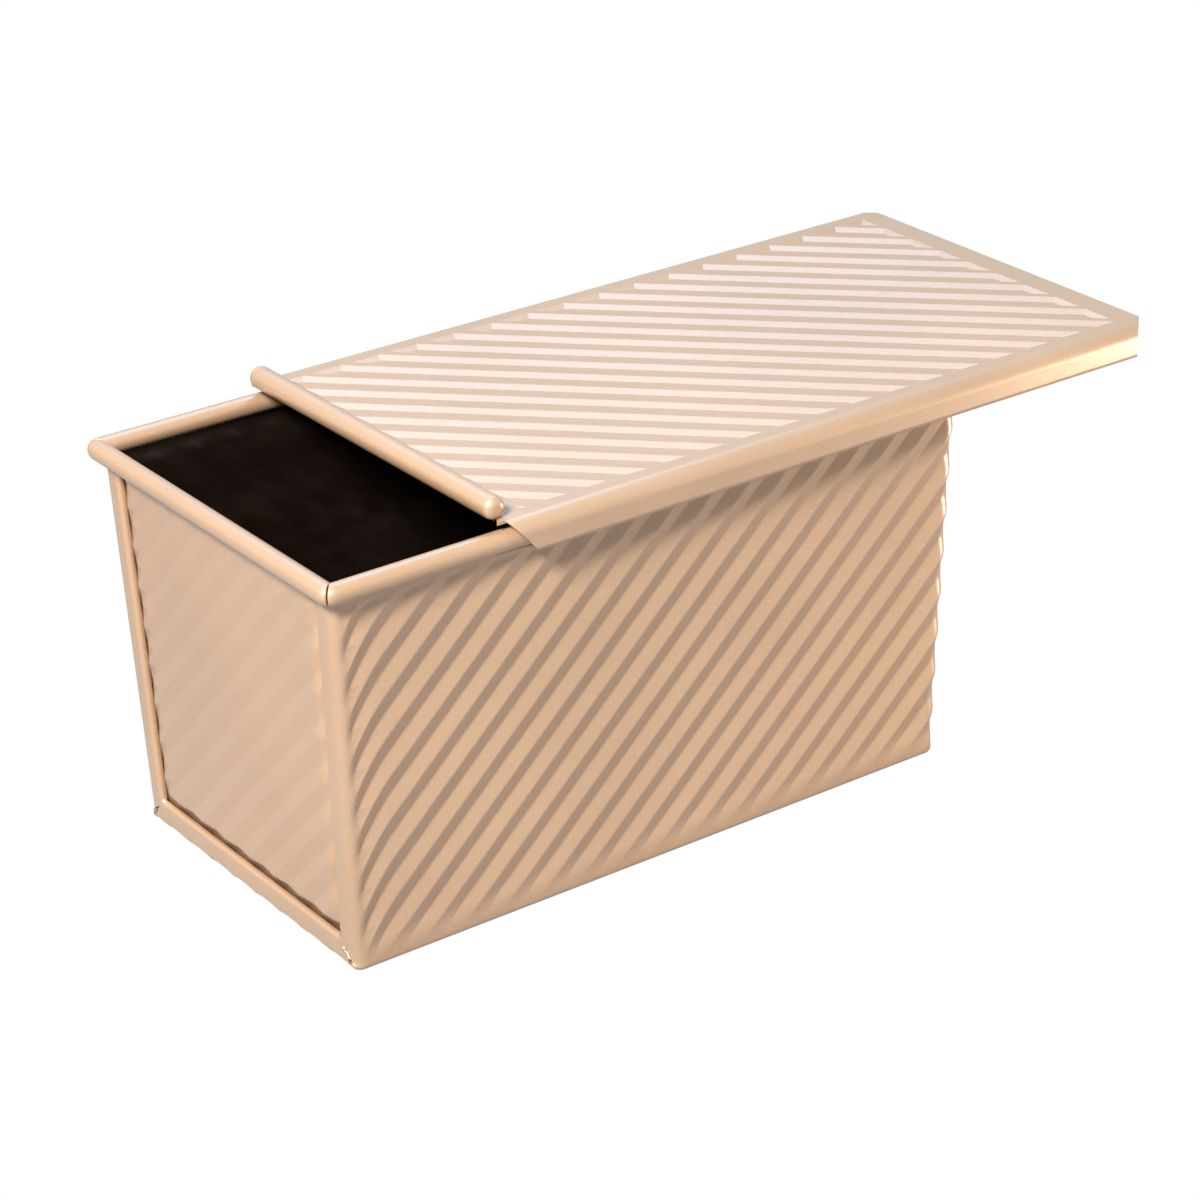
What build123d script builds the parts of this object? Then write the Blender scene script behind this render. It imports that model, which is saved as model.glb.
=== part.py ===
from build123d import *
import os
from math import ceil, cos, hypot, radians, sin, tan

os.makedirs("parts", exist_ok=True)

# Pullman loaf pan of folded sheet metal with a sliding lid.
# Lengths are millimetres, +Z is up and X runs along the pan.
# The origin is the centre of the flat base.

# Overall size of the pan
rim_length = 213.0
rim_width = 124.5
pan_height = 116.0
end_draft = radians(1.7)
side_draft = radians(2.08)

# Sheet metal and its folds
sheet = 0.8
corner_fold_radius = 4.0
base_fold_radius = 2.2

# Rolled rim and the wire that is closed inside it
bead_radius = 2.9
rim_corner_radius = 4.3
rim_wire_clearance = 0.1
rim_wire_corner_radius = 2.2
bead_slot = 1.2
end_bead_outset = 0.758
side_bead_outset = 0.511

# Pressed ribs
rib_end_run = 2.0
wall_rib_depth = 1.2
wall_rib_crest = 0.6
wall_rib_pitch = 8.84
wall_rib_rise = 44.0
wall_rib_place = 0.89
end_rib_place = 5.77
base_rib_place = wall_rib_pitch / 2
lid_rib_depth = 0.9
lid_rib_crest = 2.2
lid_rib_pitch = 9.05
lid_rib_rise = 45.0
lid_rib_place = 0.52

# Plain margins round the ribs
wall_top_margin = 2.0
wall_low_margin = 0.6
wall_end_margin = 1.2
base_margin = 2.5
panel_margin = 0.4

# Folded seam that locks each end panel into the trough
seam_clearance = 0.05
flange_width = 8.0
flange_round = 1.2
seam_tongue_start = 3.6
seam_end_gap = 0.1
flange_top_gap = 0.3
panel_rise_gap = 0.8
panel_rise_run = 2.6
panel_recess = 0.4

# Sliding lid, drawn part open at rest
lid_extra_length = 10.5
lid_drawn = 54.0
lid_rest_gap = 1.1
lid_side_clearance = 0.9
lid_shoulder_radius = 4.0
lid_lip_radius = 1.6
lid_lip_gap = 0.3
lid_lip_reach = 3.9
lid_bead_radius = 3.25
lid_bead_lift = 2.8
lid_bead_inset = 4.95
lid_wire_clearance = 0.1
lid_bead_end_round = 2.4
lid_bead_end_wall = 1.2
lid_far_clip = 6.0
lid_far_margin = 7.6
lid_near_margin = 8.5
lid_side_margin = 7.5
relief_hole_radius = 0.9
relief_hole_back = 7.0
relief_hole_inset = 16.45
relief_slit = 0.5
tab_reach = 1.5
tab_inset = 3.65
tab_width = 2.6
rail_front_back = 9.1

# How far cutting bodies run past what they cut
overrun = 1.0

# Levels and places that follow from the sizes above
bead_level = pan_height - bead_radius
bead_bottom = pan_height - 2 * bead_radius
bead_x = rim_length / 2 - bead_radius
bead_y = rim_width / 2 - bead_radius
base_length = 2 * (bead_x - end_bead_outset - bead_level * tan(end_draft))
base_width = 2 * (bead_y - side_bead_outset - bead_level * tan(side_draft))
bore_radius = bead_radius - sheet
rim_wire_radius = bore_radius - rim_wire_clearance
layer = sheet + seam_clearance
flange_top = bead_bottom - flange_top_gap
flange_top_up = flange_top / cos(end_draft)
end_lean = tan(side_draft) * cos(end_draft)
side_lean = tan(end_draft) * cos(side_draft)

# Frames on the outer faces: x along the face, y up the face, z into the pan
near_end_face = Plane(
    origin=(-base_length / 2, 0, 0),
    x_dir=(0, 1, 0),
    z_dir=(cos(end_draft), 0, sin(end_draft)),
)
near_side_face = Plane(
    origin=(0, -base_width / 2, 0),
    x_dir=(-1, 0, 0),
    z_dir=(0, cos(side_draft), sin(side_draft)),
)


def wall_outline(base_half, lean, inset, top):
    """Drafted outline of one wall, set in by a distance, up to a height along the wall."""
    slant = inset * hypot(1, lean)
    low = base_half + lean * inset - slant
    high = base_half + lean * top - slant
    return Polygon((-low, inset), (low, inset), (high, top), (-high, top), align=None)


def end_outline(inset, top):
    """Outline of an end wall in its own frame."""
    return wall_outline(base_width / 2, end_lean, inset, top)


def tapered_block(inset):
    """Block with the pan's drafted and rounded outside, set in by a distance."""
    sections = []
    for level in (inset, bead_level):
        length = base_length + 2 * (level * tan(end_draft) - inset / cos(end_draft))
        width = base_width + 2 * (level * tan(side_draft) - inset / cos(side_draft))
        sections.append(Plane.XY.offset(level) * Rectangle(length, width))
    block = loft(sections, ruled=True)
    block = fillet(block.edges().group_by(Axis.Z)[1], corner_fold_radius - inset)
    return fillet(block.edges().group_by(Axis.Z)[0], base_fold_radius - inset)


def pressed_ribs(outline, ribs, rise, place, skin, foot):
    """All the ribs pressed out of a flat sheet, their ends sloping down to its margin.

    The sheet lies on the frame's XY plane, ribs holds their pitch, depth and crest width,
    rise is their direction in degrees, place is where one crest stands, skin is the level
    that they start from and foot how far the body goes on below that level.
    """
    pitch, depth, crest = ribs
    along = Vector(cos(radians(rise)), sin(radians(rise)), 0)
    across = Vector(-along.Y, along.X, 0)
    reach = outline.bounding_box().diagonal
    half_crest = crest / 2
    half_foot = (pitch - crest) / 2
    top = skin + depth
    count = ceil(reach / pitch)
    points = []
    for number in range(-count, count + 1):
        centre = place + number * pitch
        points.append((centre - half_foot, skin))
        points.append((centre - half_crest, top))
        points.append((centre + half_crest, top))
        points.append((centre + half_foot, skin))
    points.append((points[-1][0], skin - foot))
    points.append((points[0][0], skin - foot))
    section = Plane(origin=(0, 0, 0), x_dir=across, z_dir=along) * Polygon(*points, align=None)
    ridges = extrude(section, amount=reach, both=True)
    spread = rib_end_run / depth
    low = offset(outline, amount=foot * spread, kind=Kind.INTERSECTION)
    high = offset(outline, amount=-rib_end_run, kind=Kind.INTERSECTION)
    hip = loft([Plane.XY.offset(skin - foot) * low, Plane.XY.offset(top) * high], ruled=True)
    return ridges & hip


def press(body, frame, outline, ribs, rise, place, turns):
    """Press ribs into a flat face of a sheet body, and into its copies turned about Z."""
    raised = frame * pressed_ribs(outline, ribs, rise, place, sheet, sheet / 2)
    sunk = frame * pressed_ribs(outline, ribs, rise, place, 0, overrun)
    for turn in turns:
        body = body + raised.rotate(Axis.Z, turn) - sunk.rotate(Axis.Z, turn)
    return body


def seam_strip(outer, inner, low, high):
    """Three-sided strip in an end face's frame, between two insets and two depths."""
    strip = end_outline(outer, flange_top_up) - end_outline(inner, flange_top_up)
    return extrude(Plane.XY.offset(low) * strip, amount=high - low)


def rounded_fold(outer, inner, low, high):
    """The same strip with its front edge rounded over beside the ribbed panel."""
    strip = seam_strip(outer, inner, low, high)
    marks = [edge.center() for edge in end_outline(inner, flange_top_up).edges()]
    front = []
    for edge in strip.edges().group_by(Axis.Z)[0]:
        if min((edge.center() - mark).length for mark in marks) < seam_clearance:
            front.append(edge)
    return fillet(front, flange_round)


def both_ends(body):
    """The body and its copy turned half round to the other end."""
    return [body, body.rotate(Axis.Z, 180)]


def rim_loop(radius):
    """Round bar that follows the middle of the rolled rim all the way round."""
    loop = RectangleRounded(2 * bead_x, 2 * bead_y, rim_wire_corner_radius)
    path = Plane.XY.offset(bead_level) * loop.wire()
    start = Plane(origin=(0, -bead_y, bead_level), z_dir=(1, 0, 0))
    return sweep(start * Circle(radius), path=path)


def rim_tube(axis_frame, length):
    """Straight rolled tube, rounded off at the pan's corners in plan."""
    tube = extrude(axis_frame * Circle(bead_radius), amount=length / 2, both=True)
    plan = Plane.XY.offset(bead_bottom) * RectangleRounded(rim_length, rim_width, rim_corner_radius)
    return tube & extrude(plan, amount=2 * bead_radius)


def corner_prism(shift):
    """Upright prism over the end sides of the rim's diagonals, moved along X by a distance."""
    reach = rim_width / 2
    apex = bead_x - bead_y + shift
    far = apex + reach + overrun
    triangle = Polygon((apex, 0), (far, apex - far), (far, far - apex), align=None)
    prism = extrude(Plane.XY.offset(bead_bottom - overrun) * triangle, amount=3 * bead_radius)
    return prism.rotate(Axis.Z, 180)


rim_bore = rim_loop(bore_radius)
slot_shift = bead_slot / hypot(1, 1)
half_turns = (0, 180)
wall_ribs = (wall_rib_pitch, wall_rib_depth, wall_rib_crest)
lid_ribs = (lid_rib_pitch, lid_rib_depth, lid_rib_crest)

# Trough: bottom and both long walls in one sheet, with folded flanges at both ends
seam_depth = 3 * sheet + 2 * seam_clearance
fold_start = flange_width - sheet
return_start = seam_tongue_start + layer
hem = rounded_fold(return_start, flange_width, 0, seam_depth)
hem -= seam_strip(return_start - overrun, fold_start, sheet, 2 * layer)
hem = near_end_face * hem

end_window = near_end_face * extrude(
    Plane.XY.offset(-overrun) * end_outline(flange_width - flange_round, pan_height),
    amount=corner_fold_radius + overrun,
)
flange_top_x = base_length / 2 + flange_top * tan(end_draft) - corner_fold_radius
top_corners = Pos(-flange_top_x, 0, flange_top) * Box(
    corner_fold_radius + bead_radius,
    rim_width,
    pan_height,
    align=(Align.MAX, Align.CENTER, Align.MIN),
)
side_bead = rim_tube(Plane(origin=(0, -bead_y, bead_level), z_dir=(1, 0, 0)), rim_length)
for prism in both_ends(corner_prism(-slot_shift)):
    side_bead -= prism

trough = tapered_block(0) - tapered_block(sheet)
for cut in both_ends(end_window) + both_ends(top_corners):
    trough -= cut
for fold in both_ends(hem) + both_ends(side_bead):
    trough += fold
trough -= rim_bore

side_window = wall_outline(
    base_length / 2,
    side_lean,
    corner_fold_radius + wall_end_margin,
    (bead_bottom - wall_top_margin) / cos(side_draft),
)
side_window -= Rectangle(rim_length, 2 * (base_fold_radius + wall_low_margin))
trough = press(
    trough,
    near_side_face,
    side_window,
    wall_ribs,
    180 - wall_rib_rise,
    wall_rib_place,
    half_turns,
)
base_window = Rectangle(
    base_length - 2 * (flange_width + base_margin),
    base_width - 2 * (base_fold_radius + base_margin),
)
trough = press(
    trough, Plane.XY, base_window, wall_ribs, -wall_rib_rise, base_rib_place, half_turns[:1]
)

# End panel: ribbed sheet folded round the trough's flange, with its own piece of rolled rim
rise_start = flange_width + panel_rise_gap
rise_end = rise_start + panel_rise_run
hook_depth = seam_depth + seam_clearance
panel_top = bead_level / cos(end_draft)
tongue_end = fold_start - seam_end_gap
end_panel = seam_strip(seam_tongue_start, tongue_end, layer, layer + sheet)
end_panel += seam_strip(
    seam_tongue_start, return_start - seam_clearance, layer, hook_depth + sheet
)
end_panel += seam_strip(seam_tongue_start, rise_start, hook_depth, hook_depth + sheet)


def raised_block(shift):
    """Block that fills the panel's raised field and its sloping sides, moved inwards."""
    front = Plane.XY.offset(panel_recess + shift) * end_outline(rise_end, flange_top_up)
    back = Plane.XY.offset(hook_depth + shift) * end_outline(rise_start, flange_top_up)
    return loft([front, back], ruled=True)


shelf = extrude(
    Plane.XY.offset(hook_depth) * end_outline(rise_start, flange_top_up), amount=sheet
)
end_panel += raised_block(0) + shelf - raised_block(sheet)
end_panel += extrude(
    Plane.XY.offset(panel_recess) * end_outline(rise_end, panel_top), amount=sheet
)
panel_window = end_outline(
    rise_end + panel_margin, (bead_bottom - wall_top_margin) / cos(end_draft)
)
end_panel = press(
    end_panel,
    Plane.XY.offset(panel_recess),
    panel_window,
    wall_ribs,
    180 - wall_rib_rise,
    end_rib_place,
    half_turns[:1],
)
end_bead = rim_tube(
    Plane(origin=(-bead_x, 0, bead_level), x_dir=(1, 0, 0), z_dir=(0, 1, 0)), rim_width
)
end_bead &= corner_prism(slot_shift)
near_end_panel = near_end_face * end_panel + end_bead - rim_bore
far_end_panel = near_end_panel.rotate(Axis.Z, 180)

# Steel wire closed in the rolled rim
rim_wire = rim_loop(rim_wire_radius)

# Lid: ribbed plate with two rails that wrap under the pan's long beads
lid_top = pan_height + lid_rest_gap + lid_rib_depth + sheet
lid_bottom = bead_bottom - lid_lip_gap - sheet
lid_half_width = rim_width / 2 + lid_side_clearance + sheet
lid_height = lid_top - lid_bottom
lid_length = rim_length + lid_extra_length
lid_bead_x = lid_drawn - rim_length / 2
lid_bead_half_length = lid_half_width - lid_bead_inset
relief_hole_side = lid_half_width - relief_hole_inset
tab_side = lid_half_width - tab_inset
lid_far_x = lid_bead_x + lid_length
lid_start_x = lid_bead_x - tab_reach
lid_bead_level = lid_top + lid_bead_lift


def lid_section(inset):
    """Cross-section of the lid with rounded shoulders and lips, set in by a distance."""
    block = Rectangle(2 * (lid_half_width - inset), lid_height - 2 * inset)
    corners = block.vertices().group_by(Axis.Y)
    block = fillet(corners[-1], lid_shoulder_radius - inset)
    corners = block.vertices().group_by(Axis.Y)
    return fillet(corners[0], lid_lip_radius - inset)


mouth = Pos(0, -lid_height / 2) * Rectangle(2 * (lid_half_width - lid_lip_reach), lid_height)
lid_frame = Plane(
    origin=(lid_start_x, 0, (lid_top + lid_bottom) / 2), x_dir=(0, 1, 0), z_dir=(1, 0, 0)
)
lid_plate = extrude(
    lid_frame * (lid_section(0) - lid_section(sheet) - mouth), amount=lid_far_x - lid_start_x
)


def mirrored(body):
    """The body and its mirror image across the pan's long middle plane."""
    return [body, mirror(body, about=Plane.XZ)]


def upright(outline, low, high):
    """Upright prism over a plan outline between two levels."""
    return extrude(Plane.XY.offset(low) * outline, amount=high - low)


cut_low = lid_bottom - overrun
cut_high = lid_top + overrun
wide = lid_half_width + overrun
far_clip = Polygon(
    (lid_far_x + overrun, lid_half_width - lid_far_clip - overrun),
    (lid_far_x + overrun, wide),
    (lid_far_x - lid_far_clip - overrun, wide),
    align=None,
)
hole_x = lid_bead_x + relief_hole_back
relief_hole = Pos(hole_x, relief_hole_side) * Circle(relief_hole_radius)
slit_run = hypot(hole_x - lid_start_x, tab_side - relief_hole_side)
slit_line = Vector(lid_start_x - hole_x, tab_side - relief_hole_side)
slit_turn = Vector(1, 0).get_signed_angle(slit_line, Vector(0, 0, 1))
relief_cut = relief_hole + Pos(hole_x, relief_hole_side) * Rot(0, 0, slit_turn) * Rectangle(
    slit_run, relief_slit, align=(Align.MIN, Align.CENTER)
)
near_edge = Polygon(
    (lid_start_x - overrun, -overrun),
    (lid_bead_x, -overrun),
    (lid_bead_x, lid_bead_half_length),
    (lid_start_x, tab_side),
    (lid_start_x + tab_width, tab_side),
    (lid_start_x + tab_width, wide),
    (lid_start_x - overrun, wide),
    align=None,
)
rail_front = Plane(origin=(0, tab_side, 0), x_dir=(1, 0, 0), z_dir=(0, 1, 0)) * Polygon(
    (lid_start_x, -lid_top),
    (lid_start_x + tab_width, -lid_top),
    (lid_start_x + tab_width + rail_front_back, -cut_low),
    (lid_start_x, -cut_low),
    align=None,
)
lid_cuts = [
    upright(far_clip, cut_low, cut_high),
    upright(relief_cut, lid_top - lid_shoulder_radius, cut_high),
    upright(near_edge, cut_low, cut_high),
    extrude(rail_front, amount=wide - tab_side),
]
for cut in lid_cuts:
    for copy in mirrored(cut):
        lid_plate -= copy

lid_window = Pos((lid_bead_x + lid_near_margin + lid_far_x - lid_far_margin) / 2, 0) * Rectangle(
    lid_length - lid_near_margin - lid_far_margin, 2 * (lid_half_width - lid_side_margin)
)
lid_plate = press(
    lid_plate,
    Plane(origin=(0, 0, lid_top), x_dir=(1, 0, 0), z_dir=(0, 0, -1)),
    lid_window,
    lid_ribs,
    lid_rib_rise,
    lid_rib_place,
    half_turns[:1],
)

lid_bead_frame = Plane(
    origin=(lid_bead_x, 0, lid_bead_level), x_dir=(1, 0, 0), z_dir=(0, 1, 0)
)
lid_bore_radius = lid_bead_radius - sheet
lid_bead = extrude(
    lid_bead_frame * Circle(lid_bead_radius), amount=lid_bead_half_length, both=True
)
lid_bead = fillet(lid_bead.edges().filter_by(GeomType.CIRCLE), lid_bead_end_round)
lid_bore_half_length = lid_bead_half_length - lid_bead_end_wall
lid_bore = extrude(
    lid_bead_frame * Circle(lid_bore_radius), amount=lid_bore_half_length, both=True
)
lid_plate = lid_plate + lid_bead - lid_bore
lid_wire = extrude(
    lid_bead_frame * Circle(lid_bore_radius - lid_wire_clearance),
    amount=lid_bore_half_length - lid_wire_clearance,
    both=True,
)

nodes = {
    "trough": trough,
    "near_end_panel": near_end_panel,
    "far_end_panel": far_end_panel,
    "rim_wire": rim_wire,
    "lid_plate": lid_plate,
    "lid_wire": lid_wire,
}
for name, body in nodes.items():
    export_step(body, "parts/" + name + ".step")
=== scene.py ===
import math

import bmesh
import bpy
from mathutils import Matrix, Vector


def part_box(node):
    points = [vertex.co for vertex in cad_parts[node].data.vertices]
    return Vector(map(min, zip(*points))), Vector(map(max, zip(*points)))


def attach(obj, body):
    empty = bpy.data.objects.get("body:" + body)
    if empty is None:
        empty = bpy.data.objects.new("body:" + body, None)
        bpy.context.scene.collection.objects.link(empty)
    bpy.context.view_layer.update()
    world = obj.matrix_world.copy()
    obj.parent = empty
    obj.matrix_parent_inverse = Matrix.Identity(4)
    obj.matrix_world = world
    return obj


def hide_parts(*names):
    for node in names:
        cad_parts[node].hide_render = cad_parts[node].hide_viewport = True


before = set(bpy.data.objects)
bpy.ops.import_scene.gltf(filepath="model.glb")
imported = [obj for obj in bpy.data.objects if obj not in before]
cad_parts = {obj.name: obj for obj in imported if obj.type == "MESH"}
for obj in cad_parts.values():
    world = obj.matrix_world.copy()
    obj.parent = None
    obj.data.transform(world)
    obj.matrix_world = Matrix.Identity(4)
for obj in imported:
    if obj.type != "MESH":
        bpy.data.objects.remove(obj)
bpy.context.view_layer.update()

bl_info = {
    "name": "Pullman loaf pan",
    "version": (1, 0, 0),
    "blender": (4, 5, 0),
    "location": "View3D > Sidebar > Loaf pan",
    "description": "Dresses a folded sheet loaf pan with its finishes and a studio",
    "category": "Object",
}

MM = 0.001
PHOTO_SIDE = 1200

# Sheet and its folds, in millimetres
SHEET = 0.8
END_DRAFT = math.radians(1.7)
SIDE_DRAFT = math.radians(2.08)
CORNER_FOLD_RADIUS = 4.0
BASE_FOLD_RADIUS = 2.2
FLANGE_WIDTH = 8.0
FLANGE_ROUND = 1.2
FLANGE_TOP_GAP = 0.3
HEM_DEPTH = 2.5
HEM_RETURN = 4.45

# Rolled rim
BEAD_RADIUS = 2.9
RIM_CORNER_RADIUS = 4.3
RIM_SLOT = 0.5
END_BEAD_OUTSET = 0.758
SIDE_BEAD_OUTSET = 0.511

# Pressed ribs
RIB_PITCH = 8.84
RIB_RISE = math.radians(44.0)
RIB_CREST = 0.4
RIB_SHOULDER = 0.55
RIB_RUN = 1.5
LOW_RIB_RUN = 9.0
WALL_RIB_PLACE = 0.89
END_RIB_PLACE = 5.77
END_DEPTH_SHARE = 0.5
WALL_TOP_MARGIN = 2.0
WALL_LOW_MARGIN = 0.2
BASE_RIB_RUN = 3.0
BASE_EDGE_SHARE = 0.7

# Ribs that bend upright and fade out beside the near corner
BEND_REACH = 14.0
BEND_SHIFT = 7.5
FADE_START = 1.5
FADE_END = 4.5
CORNER_FADE_LOW = math.radians(5.0)
CORNER_FADE_HIGH = math.radians(45.0)

# End panel inside the flanges
PANEL_HIDDEN = 6.0
PANEL_RISE = 8.8
PANEL_RUN = 2.6
PANEL_RECESS = 0.4

# Fineness of the meshes
CORNER_STEPS = 8
WALL_ROWS = 100
FOLD_ROWS = 7
BASE_ROWS = 44
PANEL_ROWS = 108
TUBE_STEPS = 32
TUBE_CORNER_STEPS = 6
HEM_ROUND_STEPS = 4
FLANGE_ROUND_STEPS = 5
MERGE_DISTANCE = 0.002

# Slot of the coating whose next slot is the same, for edges that show both sides, and
# how many stations past the hem have it
LAPPED_COAT = 2
LAPPED_STATIONS = 3

# Colours and shine of the finishes
COATING_COLOUR = (0.46, 0.278, 0.157)
RUBBED_COATING = (0.75, 0.6, 0.45)
COATING_ROUGHNESS = 0.45
COATING_METAL = 0.2
CLEAR_COAT_ROUGHNESS = 0.34
CLEAR_COAT_IOR = 1.9
# Inside colours: a dark release coating, made near-black as painted shade for the pan's shaded
# inside, with lighter wipe marks
INSIDE_COATING_AND_SHADE = (0.007, 0.0035, 0.0018)
WIPED_COATING_AND_SHADE = (0.013, 0.007, 0.004)
INNER_SPECULAR = 0.25
# Near-black wire tint: painted shade for the dark slot at the rim's corners
WIRE_SHADE_TINT = (0.05, 0.045, 0.04)
RUBBED_STEEL = (0.3, 0.28, 0.25)

# Noise of the finishes, in waves per metre, and the height of their bump in metres
COATING_GRAIN = 2600.0
COATING_CLOUD = 14.0
SCUFF_STRETCH = (60.0, 900.0, 900.0)
WIPE_STRETCH = (25.0, 400.0, 120.0)
INNER_SPECKLE = 1800.0
OXIDE_PATCH = 150.0
DRAWN_LINES = 2500.0
BUMP_STRENGTH = 0.25
COATING_BUMP = 0.05 * MM
WIRE_BUMP = 0.02 * MM

# Stage, in metres: the floor lies just under the pan
FLOOR_REACH = 6.0
FLOOR_DROP = 0.0002
FLOOR_GREY = 0.3
FLOOR_ROUGHNESS = 0.9
AMBIENT_LIGHT = 0.04
SENSOR_WIDTH = 36.0

# Soft boxes: name, place, aim, size in metres, power in watts and colour
LAMPS = (
    ("Key", (-0.84, -0.48, 0.98), (0, 0, 0.06), (0.3, 0.3), 40.0, (0.98, 1.0, 1.0)),
    ("Right fill", (0.4, -0.22, 0.03), (0, -0.06, 0.05), (0.12, 0.1), 1.2, (1.0, 0.8, 0.6)),
    ("Top sheen", (0.27, 0.6, 1.12), (0.06, 0, 0.1), (0.9, 0.6), 7.0, (0.24, 0.52, 0.84)),
)


def settings():
    """The values in the sidebar."""
    return bpy.context.scene.loaf_pan


class LoafPanSettings(bpy.types.PropertyGroup):
    """Sizes and colours that a user would change."""

    coating_colour: bpy.props.FloatVectorProperty(
        name="Coating",
        description="Colour of the satin non-stick coating",
        subtype="COLOR",
        default=COATING_COLOUR,
    )
    coating_roughness: bpy.props.FloatProperty(
        name="Coating roughness",
        description="How satin the coating is",
        default=COATING_ROUGHNESS,
        min=0.0,
        max=1.0,
        subtype="FACTOR",
    )
    # The inside colour is partly a dark coating and partly painted shade for the pan's shaded
    # inside
    inside_shade_colour: bpy.props.FloatVectorProperty(
        name="Inside coating and shade",
        description="Colour of the dark release coating inside the pan",
        subtype="COLOR",
        default=INSIDE_COATING_AND_SHADE,
    )
    rib_depth: bpy.props.FloatProperty(
        name="Rib depth",
        description="How deep the ribs are pressed into the sheet",
        default=1.2 * MM,
        min=0.0,
        max=3.0 * MM,
        unit="LENGTH",
    )
    # The wire's near-black colour is painted shade for the rim's corner slot
    wire_shade_tint: bpy.props.FloatVectorProperty(
        name="Wire",
        description="Colour of the bare steel wire in the rolled rim",
        subtype="COLOR",
        default=WIRE_SHADE_TINT,
    )
    floor_glow: bpy.props.FloatProperty(
        name="Floor whiteness",
        description="How much of the floor is plain white to the camera",
        default=1.0,
        min=0.0,
        max=1.0,
        subtype="FACTOR",
    )
    floor_mirrored: bpy.props.FloatProperty(
        name="Floor in reflections",
        description="How white the floor is where the coating mirrors it",
        default=0.15,
        min=0.0,
        max=1.0,
        subtype="FACTOR",
    )
    view_azimuth: bpy.props.FloatProperty(
        name="View azimuth",
        description="Direction that the camera looks from, round the pan",
        default=math.radians(-35.28),
        subtype="ANGLE",
    )
    view_elevation: bpy.props.FloatProperty(
        name="View elevation",
        description="Height of the camera above the horizon",
        default=math.radians(25.56),
        subtype="ANGLE",
    )
    view_roll: bpy.props.FloatProperty(
        name="View roll",
        description="Turn of the camera about its own axis",
        default=math.radians(-1.57),
        subtype="ANGLE",
    )
    view_distance: bpy.props.FloatProperty(
        name="View distance",
        description="Distance from the camera to the point that it looks at",
        default=996.83 * MM,
        unit="LENGTH",
    )
    view_target: bpy.props.FloatVectorProperty(
        name="View target",
        description="Point over the base that the camera starts from",
        default=(0.0, 0.0, 57.0 * MM),
        subtype="TRANSLATION",
    )
    view_offset: bpy.props.FloatVectorProperty(
        name="View offset",
        description="Shift of the camera to its own right and upwards",
        size=2,
        default=(16.49 * MM, 1.44 * MM),
        unit="LENGTH",
    )
    view_focal_pixels: bpy.props.FloatProperty(
        name="Focal length in pixels",
        description="Focal length in pixels of the 1200 pixel photograph",
        default=3550.18,
    )


def effect_group(name, colours, values):
    """A shader node group with named inputs that puts out colour, roughness and height."""
    group = bpy.data.node_groups.new(name, "ShaderNodeTree")
    colour_kind, value_kind = "NodeSocketColor", "NodeSocketFloat"
    inputs = [(label, colour_kind, (*colour, 1.0)) for label, colour in colours.items()]
    inputs += [(label, value_kind, value) for label, value in values.items()]
    for label, kind, default in inputs:
        socket = group.interface.new_socket(name=label, in_out="INPUT", socket_type=kind)
        socket.default_value = default
    outputs = {"Color": colour_kind, "Roughness": value_kind, "Height": value_kind}
    for label, kind in outputs.items():
        group.interface.new_socket(name=label, in_out="OUTPUT", socket_type=kind)
    enter = group.nodes.new("NodeGroupInput").outputs
    leave = group.nodes.new("NodeGroupOutput").inputs
    return group, enter, leave


def joined(tree, kind, options, **inputs):
    """A node with its own options, and its inputs linked or set by name or by _number."""
    node = tree.nodes.new(kind)
    for name, value in options.items():
        setattr(node, name, value)
    for name, value in inputs.items():
        socket = node.inputs[int(name[1:]) if name[1:].isdigit() else name.replace("_", " ")]
        if isinstance(value, bpy.types.NodeSocket):
            tree.links.new(value, socket)
        else:
            socket.default_value = value
    return node


def noise(tree, place, scale, detail):
    """Noise of a size and detail at a place."""
    node = joined(tree, "ShaderNodeTexNoise", {}, Vector=place, Scale=scale, Detail=detail)
    return node.outputs["Fac"]


def ranged(tree, value, low, high, to_low=0.0, to_high=1.0):
    """A value carried from one range to another."""
    node = joined(
        tree, "ShaderNodeMapRange", {},
        Value=value, From_Min=low, From_Max=high, To_Min=to_low, To_Max=to_high,
    )
    return node.outputs["Result"]


def reckoned(tree, operation, first, second):
    """The result of one sum on two values."""
    node = joined(tree, "ShaderNodeMath", {"operation": operation}, _0=first, _1=second)
    return node.outputs["Value"]


def mixed(tree, share, first, second):
    """A share of the way from one colour to another."""
    node = joined(
        tree, "ShaderNodeMix", {"data_type": "RGBA"}, _0=share, _6=first, _7=second
    )
    return node.outputs[2]


def stretched(tree, place, scale):
    """A place with each axis scaled."""
    return joined(tree, "ShaderNodeMapping", {}, Vector=place, Scale=scale).outputs["Vector"]


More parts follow.
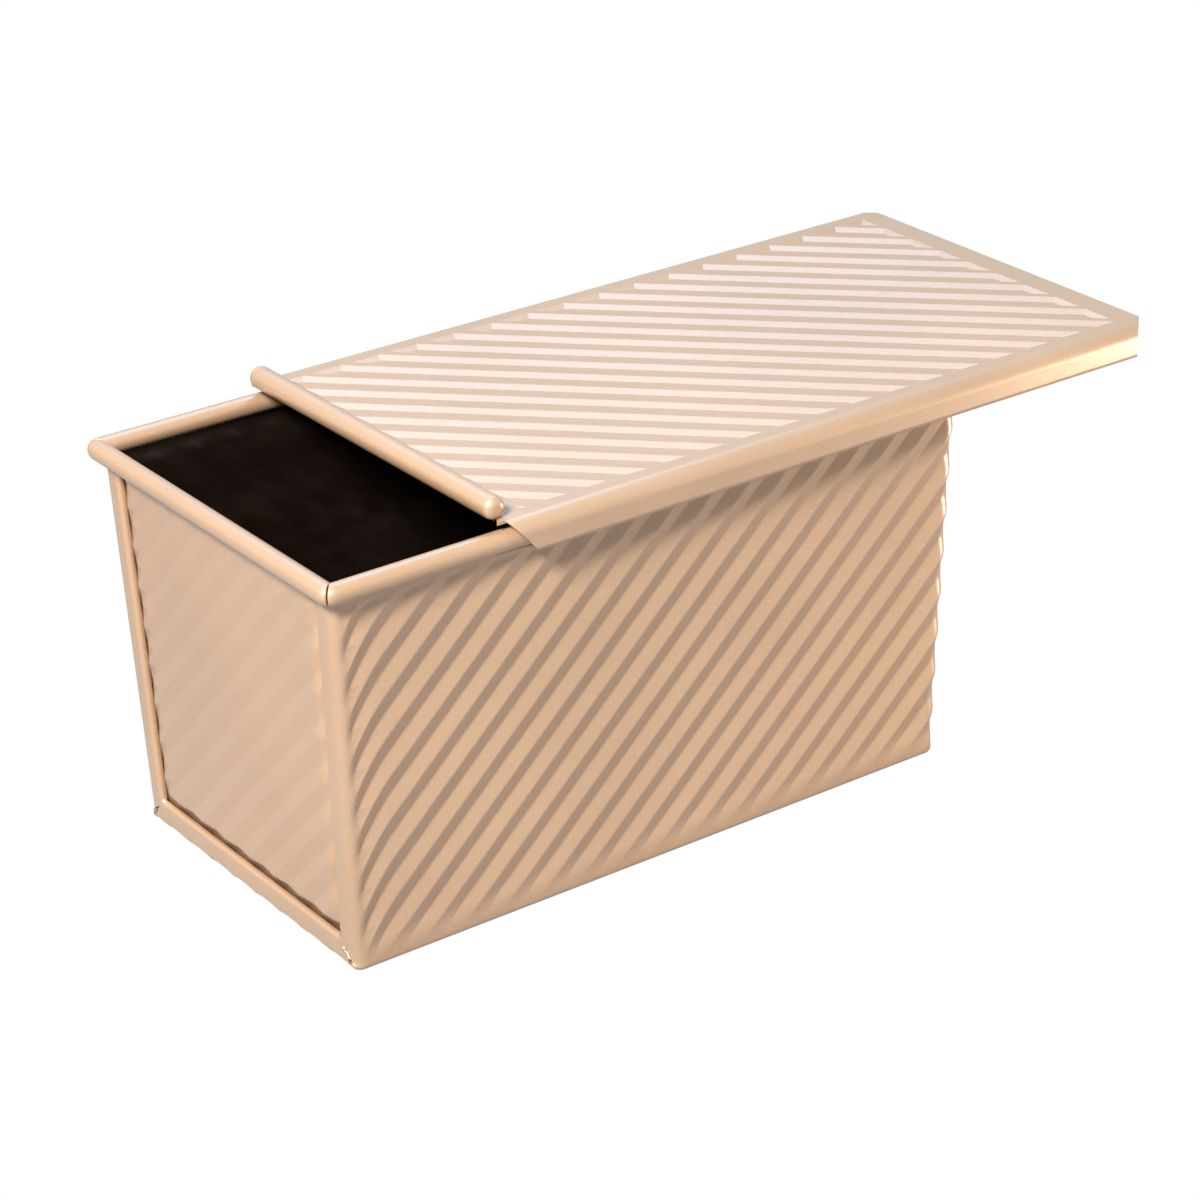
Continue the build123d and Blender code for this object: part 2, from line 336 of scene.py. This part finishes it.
def coating_group():
    """Sprayed satin coating: fine grain, slow drift of tone, rubbed edges and faint scuffs."""
    group, enter, leave = effect_group(
        "Satin coating",
        {"Tint": COATING_COLOUR, "Edge tint": RUBBED_COATING},
        {
            "Roughness": COATING_ROUGHNESS,
            "Grain size": COATING_GRAIN,
            "Grain": 0.15,
            "Edge wear": 0.12,
        },
    )
    place = joined(group, "ShaderNodeTexCoord", {}).outputs["Object"]
    grain = noise(group, place, enter["Grain size"], 2.0)
    cloud = noise(group, place, COATING_CLOUD, 3.0)
    scuff = noise(group, stretched(group, place, SCUFF_STRETCH), 1.0, 2.0)
    flake = reckoned(group, "SUBTRACT", ranged(group, grain, 0.35, 0.65), 0.5)
    speck = reckoned(group, "MULTIPLY", flake, enter["Grain"])
    tone = reckoned(group, "ADD", ranged(group, cloud, 0.3, 0.7, 0.93, 1.07), speck)
    toned = joined(
        group, "ShaderNodeVectorMath", {"operation": "SCALE"}, Vector=enter["Tint"], Scale=tone
    ).outputs["Vector"]
    bend = joined(group, "ShaderNodeNewGeometry", {}).outputs["Pointiness"]
    patchy = reckoned(group, "MULTIPLY", ranged(group, bend, 0.53, 0.62), cloud)
    worn = reckoned(group, "MULTIPLY", patchy, enter["Edge wear"])
    change = ranged(group, scuff, 0.3, 0.7, -0.05, 0.05)
    group.links.new(mixed(group, worn, toned, enter["Edge tint"]), leave["Color"])
    group.links.new(reckoned(group, "ADD", change, enter["Roughness"]), leave["Roughness"])
    group.links.new(grain, leave["Height"])
    return group


def release_and_shade_group():
    """Dark release coating, kept near-black as painted shade for the pan's shaded inside:
    baked-on speckle, faint wipe marks and uneven sheen.
    """
    group, enter, leave = effect_group(
        "Shaded release coating", {"Tint": INSIDE_COATING_AND_SHADE, "Wiped tint": WIPED_COATING_AND_SHADE}, {}
    )
    place = joined(group, "ShaderNodeTexCoord", {}).outputs["Object"]
    wipe = noise(group, stretched(group, place, WIPE_STRETCH), 1.0, 3.0)
    marks = ranged(group, wipe, 0.45, 0.8)
    group.links.new(mixed(group, marks, enter["Tint"], enter["Wiped tint"]), leave["Color"])
    group.links.new(ranged(group, wipe, 0.3, 0.7, 0.4, 0.55), leave["Roughness"])
    group.links.new(noise(group, place, INNER_SPECKLE, 2.0), leave["Height"])
    return group


def wire_group():
    """Drawn steel, near-black as painted shade for the rim's corner slot: fine die lines, dull
    patches and bright rubbed spots.
    """
    group, enter, leave = effect_group(
        "Drawn steel", {"Tint": WIRE_SHADE_TINT, "Rubbed tint": RUBBED_STEEL}, {}
    )
    place = joined(group, "ShaderNodeTexCoord", {}).outputs["Object"]
    patch = noise(group, place, OXIDE_PATCH, 3.0)
    bright = ranged(group, patch, 0.5, 0.75)
    group.links.new(mixed(group, bright, enter["Tint"], enter["Rubbed tint"]), leave["Color"])
    group.links.new(ranged(group, patch, 0.3, 0.7, 0.55, 0.3), leave["Roughness"])
    group.links.new(noise(group, place, DRAWN_LINES, 1.0), leave["Height"])
    return group


def principled(name):
    """A new node material and its Principled shader."""
    material = bpy.data.materials.new(name)
    material.use_nodes = True
    shader = material.node_tree.nodes["Principled BSDF"]
    return material, shader


def finish_from(group, name, tint, bump_height):
    """A node material whose colour, roughness and bump come from an effect group."""
    material, shader = principled(name)
    tree = material.node_tree
    effect = tree.nodes.new("ShaderNodeGroup")
    effect.node_tree = group
    effect.inputs["Tint"].default_value = (*tint, 1.0)
    bump = joined(
        tree, "ShaderNodeBump", {},
        Strength=BUMP_STRENGTH, Distance=bump_height, Height=effect.outputs["Height"],
    )
    tree.links.new(effect.outputs["Color"], shader.inputs["Base Color"])
    tree.links.new(effect.outputs["Roughness"], shader.inputs["Roughness"])
    tree.links.new(bump.outputs["Normal"], shader.inputs["Normal"])
    return material, shader, effect


def outer_coating():
    """Satin champagne coating on the outside of the folded sheet."""
    values = settings()
    material, shader, effect = finish_from(
        coating_group(), "Champagne coating", values.coating_colour, COATING_BUMP
    )
    effect.inputs["Roughness"].default_value = values.coating_roughness
    shader.inputs["Metallic"].default_value = COATING_METAL
    shader.inputs["Coat Weight"].default_value = 1.0
    shader.inputs["Coat Roughness"].default_value = CLEAR_COAT_ROUGHNESS
    shader.inputs["Coat IOR"].default_value = CLEAR_COAT_IOR
    return material


def shaded_inside_coating():
    """Dark release coating inside the pan, near-black as painted shade for its shaded inside.
    """
    # The inside colour paints the shade inside the pan as well as its dark coating
    material, shader, _ = finish_from(
        release_and_shade_group(), "Inside coating and shade", settings().inside_shade_colour, COATING_BUMP
    )
    shader.inputs["Specular IOR Level"].default_value = INNER_SPECULAR
    return material


def sheet_coats():
    """Coating outside and the darker one inside, whose darkness is partly painted shade, then
    both sides of a lapped edge.
    """
    outside = bpy.data.materials.get("Champagne coating") or outer_coating()
    inside = bpy.data.materials.get("Inside coating and shade") or shaded_inside_coating()
    return [outside, inside, outside, outside]


def paint(node, material):
    """Gives a CAD node one material."""
    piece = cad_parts[node]
    piece.data.materials.clear()
    piece.data.materials.append(material)


def smooth_rise(low, high, value):
    """Zero below the first value, one above the second and a smooth way between."""
    share = min(max((value - low) / (high - low), 0.0), 1.0)
    return share * share * (3.0 - 2.0 * share)


def pressed_wave(across, place):
    """How deep a pressed rib is at a distance across the ribs, from 0 to 1."""
    half = RIB_PITCH / 2
    off_crest = abs((across - place + half) % RIB_PITCH - half)
    flat = RIB_CREST / 2
    slope = (half - flat - off_crest) / (half - 2 * flat)
    return min(max(slope, 0.0), 1.0)


def rib_lines(low, high, place):
    """Places across the ribs, four beside each crest and each valley, over a range."""
    lines = []
    first = math.floor(2 * (low - place) / RIB_PITCH)
    last = math.ceil(2 * (high - place) / RIB_PITCH)
    for number in range(first, last + 1):
        middle = place + number * RIB_PITCH / 2
        for beside in (-RIB_SHOULDER, -RIB_CREST / 2, RIB_CREST / 2, RIB_SHOULDER):
            lines.append(middle + beside)
    return lines


def bent_place(straight):
    """Distance from the near end of a rib that would be straight at the given distance."""
    if straight >= BEND_REACH:
        return straight
    square = BEND_SHIFT / BEND_REACH ** 2
    linear = 1 + 2 * BEND_SHIFT / BEND_REACH
    root = math.sqrt(linear * linear - 4 * square * (BEND_SHIFT + straight))
    return (linear - root) / (2 * square)


def steps(first, last, count):
    """Evenly spaced values with both ends."""
    return [first + (last - first) * number / count for number in range(count + 1)]


class SheetMesh:
    """Gathers grids of points, in millimetres, into one mesh."""

    def __init__(self):
        self.points = []
        self.faces = []
        self.coats = []

    def grid(self, rows, outward, ring=False, lapped=0):
        """Adds one grid, whose middle face turns outward and whose end columns are lapped."""
        width = len(rows[0])
        first = len(self.points)
        for row in rows:
            self.points.extend(row)
        faces = []
        count = len(rows)
        for number in range(count if ring else count - 1):
            here = first + number * width
            there = first + (number + 1) % count * width
            for column in range(width - 1):
                near, far = here + column, there + column
                faces.append((near, near + 1, far + 1, far))
                at_end = min(column, width - 2 - column) < lapped
                self.coats.append(LAPPED_COAT if at_end else 0)
        middle = faces[len(faces) // 2 + width // 2]
        a, b, c = (Vector(self.points[index]) for index in middle[:3])
        if (b - a).cross(c - b).dot(Vector(outward)) < 0:
            faces = [face[::-1] for face in faces]
        self.faces.extend(faces)

    def piece(self, name, coats):
        """The mesh as a piece of folded sheet that is as thick inwards as it should be."""
        mesh = bpy.data.meshes.new(name)
        mesh.from_pydata([Vector(point) * MM for point in self.points], [], self.faces)
        mesh.polygons.foreach_set("material_index", self.coats)
        shape = bmesh.new()
        shape.from_mesh(mesh)
        bmesh.ops.remove_doubles(shape, verts=shape.verts, dist=MERGE_DISTANCE * MM)
        shape.to_mesh(mesh)
        shape.free()
        for coat in coats:
            mesh.materials.append(coat)
        mesh.shade_smooth()
        piece = bpy.data.objects.new(name, mesh)
        bpy.context.scene.collection.objects.link(piece)
        gauge = piece.modifiers.new("gauge", "SOLIDIFY")
        gauge.thickness = SHEET * MM
        gauge.offset = -1.0
        gauge.material_offset = 1
        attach(piece, "pan")
        return piece


class PanShape:
    """The pan's drafted outside, worked out from the frame and the sheet's sizes."""

    def __init__(self):
        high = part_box("trough")[1]
        end_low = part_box("near_end_panel")[0]
        self.height = high[2] / MM
        self.half_rim_width = high[1] / MM
        self.half_rim_length = -end_low[0] / MM
        self.bead_level = self.height - BEAD_RADIUS
        self.bead_bottom = self.height - 2 * BEAD_RADIUS
        self.bead_x = self.half_rim_length - BEAD_RADIUS
        self.bead_y = self.half_rim_width - BEAD_RADIUS
        self.half_base_length = (
            self.bead_x - END_BEAD_OUTSET - self.bead_level * math.tan(END_DRAFT)
        )
        self.half_base_width = (
            self.bead_y - SIDE_BEAD_OUTSET - self.bead_level * math.tan(SIDE_DRAFT)
        )
        self.flange_top = self.bead_bottom - FLANGE_TOP_GAP

    def end_x(self, z):
        """Half length over the end faces at a height."""
        return self.half_base_length + z * math.tan(END_DRAFT)

    def side_y(self, z, inset):
        """Half width over the walls at a height, set in by a distance."""
        return self.half_base_width + z * math.tan(SIDE_DRAFT) - inset / math.cos(SIDE_DRAFT)


def hem_run():
    """Depth and inset from the hidden end of the hem to the flange's outer face."""
    run = [(HEM_DEPTH, HEM_RETURN), (HEM_DEPTH, FLANGE_WIDTH - 2 * FLANGE_ROUND)]
    middle = FLANGE_WIDTH - FLANGE_ROUND
    for turn in steps(math.pi / 2, 0.0, HEM_ROUND_STEPS):
        lower = HEM_DEPTH - FLANGE_ROUND + FLANGE_ROUND * math.sin(turn)
        run.append((lower, middle + FLANGE_ROUND * math.cos(turn)))
    for turn in steps(math.pi / 2, 0.0, FLANGE_ROUND_STEPS):
        depth = FLANGE_ROUND - FLANGE_ROUND * math.cos(turn)
        run.append((depth, middle + FLANGE_ROUND * math.sin(turn)))
    return run


def end_run(radius):
    """Depth, inset and turn of each station from the hem round the corner to the wall."""
    run = [(depth, inset, 0.0) for depth, inset in hem_run()]
    flange = FLANGE_WIDTH - FLANGE_ROUND
    for share in (1 / 3, 2 / 3):
        run.append((0.0, flange + (radius - flange) * share, 0.0))
    for turn in steps(0.0, math.pi / 2, CORNER_STEPS):
        run.append((radius - radius * math.cos(turn), radius - radius * math.sin(turn), turn))
    return run


def wall_waves(pan, x, side, height, turn, end):
    """Depth of the pressed ribs on a long wall, which fade out beside its near end."""
    distance = x + pan.end_x(height)
    bend = max(1.0 - distance / BEND_REACH, 0.0)
    along = -side * (x - BEND_SHIFT * bend * bend)
    across = along * math.sin(RIB_RISE) - height / math.cos(SIDE_DRAFT) * math.cos(RIB_RISE)
    depth = rib_depth() * pressed_wave(across, WALL_RIB_PLACE)
    depth *= smooth_rise(FADE_START, FADE_END, distance)
    depth *= smooth_rise(0.0, RIB_RUN, pan.bead_bottom - WALL_TOP_MARGIN - height)
    depth *= smooth_rise(0.0, LOW_RIB_RUN, height - BASE_FOLD_RADIUS - WALL_LOW_MARGIN)
    if end > 0:
        depth *= smooth_rise(CORNER_FADE_LOW, CORNER_FADE_HIGH, turn)
    return depth


def base_waves(pan, x, y, turn):
    """Depth of the pressed ribs under the pan."""
    across = x * math.sin(RIB_RISE) + y * math.cos(RIB_RISE)
    depth = rib_depth() * pressed_wave(across, RIB_PITCH / 2)
    edge = pan.half_base_width - BASE_FOLD_RADIUS - abs(y)
    depth *= smooth_rise(0.0, BASE_RIB_RUN, edge)
    if turn < math.pi / 2:
        depth *= smooth_rise(CORNER_FADE_LOW, CORNER_FADE_HIGH, turn)
    return depth * (BASE_EDGE_SHARE if turn < math.pi / 2 else 1.0)


def rib_depth():
    """Depth of the pressed ribs in millimetres."""
    return settings().rib_depth / MM


class TroughLines:
    """Lines of points that follow the ribs over the near wall, the bottom and the far wall."""

    def __init__(self, pan):
        self.pan = pan
        half_width = pan.half_base_width - BASE_FOLD_RADIUS
        foot = BASE_FOLD_RADIUS * math.cos(RIB_RISE)
        drop = half_width * math.cos(RIB_RISE)
        shift = RIB_PITCH / 2 - WALL_RIB_PLACE
        self.base_slide = shift - RIB_PITCH * round((drop + shift - foot) / RIB_PITCH)
        over = self.base_slide - drop + foot
        self.far_slide = RIB_PITCH * round((over + 2 * WALL_RIB_PLACE) / RIB_PITCH)
        self.far_slide -= 2 * WALL_RIB_PLACE
        climb = pan.height * math.cos(RIB_RISE)
        reach = (pan.half_rim_length + BEND_SHIFT) * math.sin(RIB_RISE)
        self.across = rib_lines(-reach - climb, reach + climb - self.far_slide, WALL_RIB_PLACE)

    def on_wall(self, side, z):
        """Places along a long wall at a height."""
        climb = z / math.cos(SIDE_DRAFT) * math.cos(RIB_RISE)
        slide = climb if side < 0 else self.far_slide - climb
        end = self.pan.end_x(z)
        return [
            bent_place((line + slide) / math.sin(RIB_RISE) + end) - end for line in self.across
        ]

    def on_base(self, y):
        """Places along the bottom at a distance from its middle line."""
        slide = self.base_slide - y * math.cos(RIB_RISE)
        return [(line + slide) / math.sin(RIB_RISE) for line in self.across]


def trough_row(pan, lines, kind, side, share):
    """One line of the trough's outer face, from its near end to its far end."""
    wall_part = {"wall": 1.0, "fold": share, "base": 0.0}[kind]
    radius = BASE_FOLD_RADIUS + (CORNER_FOLD_RADIUS - BASE_FOLD_RADIUS) * wall_part
    run = end_run(radius)
    foot = BASE_FOLD_RADIUS * (1 - math.sin(SIDE_DRAFT))
    edge = pan.side_y(BASE_FOLD_RADIUS, BASE_FOLD_RADIUS)
    if kind == "wall":
        middle = lines.on_wall(side, foot + (pan.bead_bottom + SHEET - foot) * share)
    elif kind == "fold":
        pairs = zip(lines.on_base(side * edge), lines.on_wall(side, foot))
        middle = [low + (high - low) * share for low, high in pairs]
    else:
        middle = lines.on_base(edge * share)
    # Round the near end's folds, over the middle along the ribs, round the far end's folds
    stations = [(item, -1, None) for item in run]
    stations += [((radius, 0.0, math.pi / 2), 0, place) for place in middle]
    stations += [(item, 1, None) for item in reversed(run)]
    points = []
    for (depth, inset, turn), end, place in stations:
        fold = max(BASE_FOLD_RADIUS - inset, 0.0)
        centre_z = inset + fold
        centre_y = pan.side_y(centre_z, inset + fold)
        if kind == "wall":
            low = centre_z - fold * math.sin(SIDE_DRAFT)
            top = pan.flange_top if end and turn < math.pi / 2 else pan.bead_bottom + SHEET
            z = low + (top - low) * share
            y = side * pan.side_y(z, inset)
        elif kind == "fold":
            angle = share * (math.pi / 2 - SIDE_DRAFT)
            z = centre_z - fold * math.cos(angle)
            y = side * (centre_y + fold * math.sin(angle))
        else:
            z = inset
            y = centre_y * share
        if end:
            x = end * (pan.end_x(z) - depth)
        else:
            reach = pan.end_x(z) - radius
            x = min(max(place, -reach), reach)
        inward = Vector((0, 0, 0))
        if kind == "wall":
            wave = wall_waves(pan, x, side, z, turn, end)
            level = -side * math.cos(SIDE_DRAFT)
            inward = Vector((0, level, math.sin(SIDE_DRAFT))) * math.sin(turn)
            inward += Vector((-end, 0, 0)) * math.cos(turn)
            inward *= wave
        elif kind == "base":
            inward = Vector((-end * math.cos(turn), 0, math.sin(turn)))
            inward *= base_waves(pan, x, y, turn)
        points.append((x + inward.x, y + inward.y, z + inward.z))
    return points


def corner_tube(half_length, level, offset, radius):
    """Rolled tube along X with both ends turned half way round the rim's corners."""
    pivot_radius = RIM_CORNER_RADIUS - radius
    pivot_x = half_length - RIM_CORNER_RADIUS
    pivot_y = offset - pivot_radius
    gap = RIM_SLOT / 2
    rows = []
    for number in range(TUBE_STEPS):
        angle = 2 * math.pi * number / TUBE_STEPS
        outward = pivot_radius + radius * math.cos(angle)
        z = level + radius * math.sin(angle)
        side = []
        last_turn = math.pi / 4 - gap / max(abs(outward), RIM_CORNER_RADIUS / 2)
        shortest = min(max(-outward, 0.0), 1.0)
        for share in steps(0.0, 1.0, TUBE_CORNER_STEPS):
            if outward > 0:
                turn = share * last_turn
                x = pivot_x + outward * math.sin(turn)
                side.append((x, pivot_y + outward * math.cos(turn), z))
            else:
                x = pivot_x + outward - shortest * (1 - share) - gap * share
                side.append((x, pivot_y + outward, z))
        rows.append([(-x, y, z) for x, y, z in reversed(side)] + side)
    return rows


class LOAFPAN_OT_trough(bpy.types.Operator):
    """Folds the bottom and both long walls from one ribbed sheet"""

    bl_idname = "loafpan.trough"
    bl_label = "Trough"

    def execute(self, context):
        pan = PanShape()
        mesh = SheetMesh()
        lines = TroughLines(pan)
        parts = (
            ("wall", -1, steps(1.0, 0.0, WALL_ROWS)),
            ("fold", -1, steps(1.0, 0.0, FOLD_ROWS)[1:-1]),
            ("base", 0, steps(-1.0, 1.0, BASE_ROWS)),
            ("fold", 1, steps(0.0, 1.0, FOLD_ROWS)[1:-1]),
            ("wall", 1, steps(0.0, 1.0, WALL_ROWS)),
        )
        rows = [
            trough_row(pan, lines, kind, side, share)
            for kind, side, shares in parts
            for share in shares
        ]
        mesh.grid(rows, (0, 0, -1), lapped=len(hem_run()) + LAPPED_STATIONS)
        tube = corner_tube(pan.half_rim_length, pan.bead_level, pan.bead_y, BEAD_RADIUS)
        mesh.grid(tube, (0, 0, -1), ring=True)
        other_side = [[(-x, -y, z) for x, y, z in row] for row in tube]
        mesh.grid(other_side, (0, 0, -1), ring=True)
        piece = mesh.piece("trough_sheet", sheet_coats())
        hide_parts("trough")
        return {"FINISHED"}


def panel_row(pan, lines, height, turn):
    """One level line of an end panel's outer face."""
    half = pan.half_base_width + height * math.tan(SIDE_DRAFT)
    insets = [PANEL_HIDDEN, PANEL_RISE, PANEL_RISE + PANEL_RUN / 2, PANEL_RISE + PANEL_RUN]
    left = [-(half - inset) for inset in insets]
    climb = height / math.cos(END_DRAFT) * math.cos(RIB_RISE)
    middle = [-(line + climb) / math.sin(RIB_RISE) for line in reversed(lines)]
    middle = [min(max(y, left[-1]), -left[-1]) for y in middle]
    right = [-y for y in reversed(left)]
    points = []
    for y in left + middle + right:
        side_inset = (half - abs(y)) * math.cos(SIDE_DRAFT)
        inset = min(side_inset, height)
        slope = min(max((inset - PANEL_RISE) / PANEL_RUN, 0.0), 1.0)
        depth = HEM_DEPTH + (PANEL_RECESS - HEM_DEPTH) * slope
        across = -y * math.sin(RIB_RISE) - climb
        wave = rib_depth() * END_DEPTH_SHARE * pressed_wave(across, END_RIB_PLACE)
        wave *= smooth_rise(0.0, RIB_RUN, pan.bead_bottom - WALL_TOP_MARGIN - height)
        wave *= smooth_rise(PANEL_HIDDEN, PANEL_RISE + PANEL_RUN / 2, inset)
        x = -pan.end_x(height) + depth + wave
        points.append((turn * x, turn * y, height))
    return points


class LOAFPAN_OT_end_panels(bpy.types.Operator):
    """Folds the two ribbed end panels with their pieces of rolled rim"""

    bl_idname = "loafpan.end_panels"
    bl_label = "End panels"

    def execute(self, context):
        pan = PanShape()
        heights = [PANEL_HIDDEN, PANEL_RISE, PANEL_RISE + PANEL_RUN / 2]
        heights += steps(PANEL_RISE + PANEL_RUN, pan.bead_bottom + SHEET, PANEL_ROWS)
        reach = pan.half_rim_width * math.sin(RIB_RISE)
        lines = rib_lines(-reach - pan.height * math.cos(RIB_RISE), reach, END_RIB_PLACE)
        tube = corner_tube(pan.half_rim_width, pan.bead_level, pan.bead_x, BEAD_RADIUS)
        for name, turn in (("near_end", 1), ("far_end", -1)):
            mesh = SheetMesh()
            rows = [panel_row(pan, lines, height, turn) for height in heights]
            mesh.grid(rows, (-turn, 0, 0))
            rim = [[(-turn * y, x, z) for x, y, z in row] for row in tube]
            mesh.grid(rim, (0, 0, -1), ring=True)
            piece = mesh.piece(name + "_sheet", sheet_coats())
            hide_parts(name + "_panel")
        return {"FINISHED"}


class LOAFPAN_OT_lid(bpy.types.Operator):
    """Coats the sliding lid"""

    bl_idname = "loafpan.lid"
    bl_label = "Lid"

    def execute(self, context):
        paint("lid_plate", sheet_coats()[0])
        return {"FINISHED"}


class LOAFPAN_OT_wires(bpy.types.Operator):
    """Finishes the steel wires in the rolled rim and in the lid's bead, near-black as painted
    shade
    """

    bl_idname = "loafpan.wires"
    bl_label = "Wires"

    def execute(self, context):
        # The wire's dark tint paints the shade in the rim's corner slot
        material, shader, _ = finish_from(
            wire_group(), "Shaded wire", settings().wire_shade_tint, WIRE_BUMP
        )
        shader.inputs["Metallic"].default_value = 1.0
        for node in ("rim_wire", "lid_wire"):
            paint(node, material)
        return {"FINISHED"}


def add_area(name, place, aim, size, power, colour):
    """A soft box at a place, turned to a point."""
    lamp = bpy.data.lights.new(name, "AREA")
    lamp.shape = "RECTANGLE"
    lamp.size, lamp.size_y = size
    lamp.energy = power
    lamp.color = colour
    holder = bpy.data.objects.new(name, lamp)
    bpy.context.scene.collection.objects.link(holder)
    holder.location = place
    holder.rotation_euler = (Vector(aim) - Vector(place)).to_track_quat("-Z", "Y").to_euler()


def seen_directly(tree, mirrored):
    """One to the camera and through clear glass, a given share in reflections, or else zero."""
    path = tree.nodes.new("ShaderNodeLightPath").outputs
    dimmed = reckoned(tree, "MULTIPLY", path["Is Glossy Ray"], mirrored)
    either = reckoned(tree, "MAXIMUM", path["Is Camera Ray"], dimmed)
    return reckoned(tree, "MAXIMUM", either, path["Is Transmission Ray"])


def add_floor():
    """A pale floor that is plain white to the camera."""
    values = settings()
    floor_mesh = bpy.data.meshes.new("floor")
    signs = ((-1, -1), (1, -1), (1, 1), (-1, 1))
    corners = [(FLOOR_REACH * x, FLOOR_REACH * y, 0) for x, y in signs]
    floor_mesh.from_pydata(corners, [], [(0, 1, 2, 3)])
    floor = bpy.data.objects.new("floor", floor_mesh)
    floor.location.z = -FLOOR_DROP
    bpy.context.scene.collection.objects.link(floor)
    material, shader = principled("White floor")
    shader.inputs["Base Color"].default_value = (FLOOR_GREY, FLOOR_GREY, FLOOR_GREY, 1.0)
    shader.inputs["Roughness"].default_value = FLOOR_ROUGHNESS
    tree = material.node_tree
    glow = tree.nodes.new("ShaderNodeEmission")
    blend = tree.nodes.new("ShaderNodeMixShader")
    seen = seen_directly(tree, values.floor_mirrored)
    share = reckoned(tree, "MULTIPLY", seen, values.floor_glow)
    tree.links.new(share, blend.inputs["Fac"])
    tree.links.new(shader.outputs["BSDF"], blend.inputs[1])
    tree.links.new(glow.outputs["Emission"], blend.inputs[2])
    tree.links.new(blend.outputs["Shader"], tree.nodes["Material Output"].inputs["Surface"])
    floor_mesh.materials.append(material)


def add_world():
    """Dim light from all round, with a background that is white to the camera."""
    world = bpy.data.worlds.new("Studio")
    bpy.context.scene.world = world
    world.use_nodes = True
    tree = world.node_tree
    light = tree.nodes["Background"]
    light.inputs["Color"].default_value = (1.0, 1.0, 1.0, 1.0)
    light.inputs["Strength"].default_value = AMBIENT_LIGHT
    white = tree.nodes.new("ShaderNodeBackground")
    white.inputs["Strength"].default_value = 1.0
    blend = tree.nodes.new("ShaderNodeMixShader")
    tree.links.new(seen_directly(tree, 1.0), blend.inputs["Fac"])
    tree.links.new(light.outputs["Background"], blend.inputs[1])
    tree.links.new(white.outputs["Background"], blend.inputs[2])
    tree.links.new(blend.outputs["Shader"], tree.nodes["World Output"].inputs["Surface"])


def add_camera():
    """A camera at the photograph's viewing angle."""
    values = settings()
    camera_data = bpy.data.cameras.new("Camera")
    camera_data.sensor_width = SENSOR_WIDTH
    camera_data.lens = camera_data.sensor_width * values.view_focal_pixels / PHOTO_SIDE
    camera = bpy.data.objects.new("Camera", camera_data)
    bpy.context.scene.collection.objects.link(camera)
    turn, rise, roll = values.view_azimuth, values.view_elevation, values.view_roll
    back = Vector(
        (math.sin(turn) * math.cos(rise), -math.cos(turn) * math.cos(rise), math.sin(rise))
    )
    level_right = Vector((0, 0, 1)).cross(back).normalized()
    level_up = back.cross(level_right)
    right = level_right * math.cos(roll) + level_up * math.sin(roll)
    up = level_up * math.cos(roll) - level_right * math.sin(roll)
    shift_right, shift_up = values.view_offset
    place = Vector(values.view_target) + right * shift_right + up * shift_up
    place += back * values.view_distance
    camera.matrix_world = Matrix((
        (right.x, up.x, back.x, place.x),
        (right.y, up.y, back.y, place.y),
        (right.z, up.z, back.z, place.z),
        (0, 0, 0, 1),
    ))
    bpy.context.scene.camera = camera


class LOAFPAN_OT_stage(bpy.types.Operator):
    """Sets up the floor, the soft studio light and the camera"""

    bl_idname = "loafpan.stage"
    bl_label = "Stage"

    def execute(self, context):
        add_floor()
        add_world()
        for lamp in LAMPS:
            add_area(*lamp)
        context.scene.view_settings.view_transform = "Standard"
        add_camera()
        return {"FINISHED"}


class LOAFPAN_PT_panel(bpy.types.Panel):
    """Lists the pan's operators and values"""

    bl_idname = "LOAFPAN_PT_panel"
    bl_label = "Loaf pan"
    bl_space_type = "VIEW_3D"
    bl_region_type = "UI"
    bl_category = "Loaf pan"

    def draw(self, context):
        for operator in OPERATORS:
            self.layout.operator(operator.bl_idname)
        for name in LoafPanSettings.__annotations__:
            self.layout.prop(settings(), name)


OPERATORS = (
    LOAFPAN_OT_trough,
    LOAFPAN_OT_end_panels,
    LOAFPAN_OT_lid,
    LOAFPAN_OT_wires,
    LOAFPAN_OT_stage,
)
CLASSES = (LoafPanSettings, *OPERATORS, LOAFPAN_PT_panel)


def register():
    """Registers the classes and the pan's values."""
    for item in CLASSES:
        bpy.utils.register_class(item)
    bpy.types.Scene.loaf_pan = bpy.props.PointerProperty(type=LoafPanSettings)


def unregister():
    """Takes the values and the classes away again."""
    del bpy.types.Scene.loaf_pan
    for item in reversed(CLASSES):
        bpy.utils.unregister_class(item)


def main():
    """Builds everything in order."""
    register()
    bpy.ops.loafpan.trough()
    bpy.ops.loafpan.end_panels()
    bpy.ops.loafpan.lid()
    bpy.ops.loafpan.wires()
    bpy.ops.loafpan.stage()


if __name__ == "__main__":
    main()
